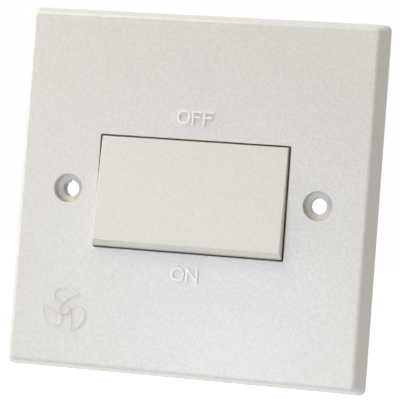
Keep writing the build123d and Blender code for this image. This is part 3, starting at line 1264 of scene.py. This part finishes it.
LAMPS = (
    Lamp("front_key", (-0.35, -0.70, 0.80), 0.50, 3.8, (1.0, 0.87, 0.70)),
    Lamp("top_graze", (-0.20, -0.08, 0.70), 0.30, 1.5, (0.82, 1.0, 1.0)),
    Lamp("left_graze", (-0.13, -0.02, 0.05), 0.04, 0.036, (0.88, 0.95, 1.0)),
    Lamp("left_key", (-0.45, -0.12, -0.02), 0.10, 0.30),
    Lamp("low_bounce", (0.02, -0.06, -0.06), 0.05, 0.005, (1.0, 0.96, 1.0)),
    Lamp("low_sheen", (-0.05, -0.40, -0.06), 0.08, 0.29, (0.46, 0.70, 1.0)),
    Lamp("rear_fill", (-0.13, 0.65, 0.0), 0.16, 1.8),
)


@dataclass
class Studio:
    """Camera, soft lamps, white surround and pale floor."""

    azimuth_deg: float = 9.96
    elevation_deg: float = -0.13
    roll_deg: float = 4.22
    target: Spot = (1.01 * MM, 0.0, -0.54 * MM)
    distance: float = 350.18 * MM
    lens_mm: float = 130.43
    sensor_mm: float = 36.0
    clip_start: float = 10.0 * MM
    ambient: float = 0.39
    ambient_tint: Colour = (1.0, 0.93, 0.885)
    rear_share: float = 0.25
    rear_span: Point = (0.1, 0.6)
    floor_z: float = -0.12
    floor_half: float = 3.0
    floor_grey: float = 0.82
    floor_faint: float = 0.30
    floor_glow: float = 0.94

    def build(self) -> None:
        """Sets up everything round the object."""
        self._camera()
        self._world()
        self._floor()
        for lamp in LAMPS:
            lamp.build()
        bpy.context.scene.view_settings.view_transform = "Standard"

    def _camera(self) -> None:
        """Places the camera by its turn, height and roll about the object."""
        turn, rise, roll = (radians(a) for a in (self.azimuth_deg, self.elevation_deg, self.roll_deg))
        back = Vector((sin(turn) * cos(rise), -cos(turn) * cos(rise), sin(rise)))
        level = (-back).cross(Vector((0.0, 0.0, 1.0))).normalized()
        above = level.cross(-back)
        right = cos(roll) * level + sin(roll) * above
        up = -sin(roll) * level + cos(roll) * above
        data = bpy.data.cameras.new("camera")
        data.lens = self.lens_mm
        data.sensor_width = self.sensor_mm
        data.clip_start = self.clip_start
        camera = show(bpy.data.objects.new("camera", data))
        place = Matrix((right, up, back)).transposed().to_4x4()
        place.translation = Vector(self.target) + back * self.distance
        camera.matrix_world = place
        bpy.context.scene.camera = camera

    def _world(self) -> None:
        """Soft surround, dim behind the plate, that the camera and glossy surfaces see as plain white."""
        world = bpy.data.worlds.new("surround")
        world.use_nodes = True
        world.node_tree.nodes.clear()
        net = Net(world.node_tree)
        toward = net.add("ShaderNodeTexCoord").outputs["Generated"]
        toward = net.add("ShaderNodeSeparateXYZ", {0: toward}).outputs
        dim = net.ramp(toward[1], self.rear_span, self.ambient, self.ambient * self.rear_share)
        soft = net.out("ShaderNodeBackground", {"Color": (*self.ambient_tint, 1.0), "Strength": dim})
        white = net.out("ShaderNodeBackground", {"Color": (*WHITE, 1.0), "Strength": 1.0})
        mixed = net.out("ShaderNodeMixShader", {0: net.seen(), 1: soft, 2: white})
        net.add("ShaderNodeOutputWorld", {"Surface": mixed})
        bpy.context.scene.world = world

    def _floor(self) -> None:
        """Pale floor below the object: white to the camera, but for the object's shadow."""
        half, low = self.floor_half, self.floor_z
        mesh = bpy.data.meshes.new("floor")
        corners = [(-half, -half, low), (half, -half, low), (half, half, low), (-half, half, low)]
        mesh.from_pydata(corners, [], [(0, 1, 2, 3)])
        floor = show(bpy.data.objects.new("floor", mesh))
        paint = bpy.data.materials.new("pale_floor")
        paint.use_nodes = True
        paint.node_tree.nodes.clear()
        net = Net(paint.node_tree)
        plain, faint = (
            net.out("ShaderNodeBsdfDiffuse", {"Color": (grey, grey, grey, 1.0)})
            for grey in (self.floor_grey, self.floor_faint)
        )
        glow = net.out("ShaderNodeEmission", {"Color": (*WHITE, 1.0), "Strength": self.floor_glow})
        white = net.out("ShaderNodeAddShader", {0: faint, 1: glow})
        mixed = net.out("ShaderNodeMixShader", {0: net.seen(), 1: plain, 2: white})
        net.add("ShaderNodeOutputMaterial", {"Surface": mixed})
        mesh.materials.append(paint)


def main() -> None:
    """Builds and dresses every piece, then sets up the studio."""
    logging.basicConfig(level=logging.INFO, format="%(message)s")
    finishes = Finishes()
    plate_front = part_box("front_plate")[0].y
    base_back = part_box("switch_base")[1].y
    assemblies = (
        MouldedCopy("front_plate", "plate_moulding", Slot.PLATE, Body.HOUSING),
        MouldedCopy("rocker", "rocker_moulding", Slot.ROCKER, Body.ROCKER),
        MouldedCopy("switch_base", "base_moulding", Slot.BASE, Body.HOUSING, edge_break=0.15 * MM),
        FaceMarks(plate_front),
        base_screw_set(),
        terminal_screw_set(),
        plate_pin_marks(plate_front),
        base_pin_marks(base_back),
        PlungerSprings(),
        Mechanism(),
    )
    for assembly in assemblies:
        assembly.build(finishes)
    Studio().build()


if __name__ == "__main__":
    main()
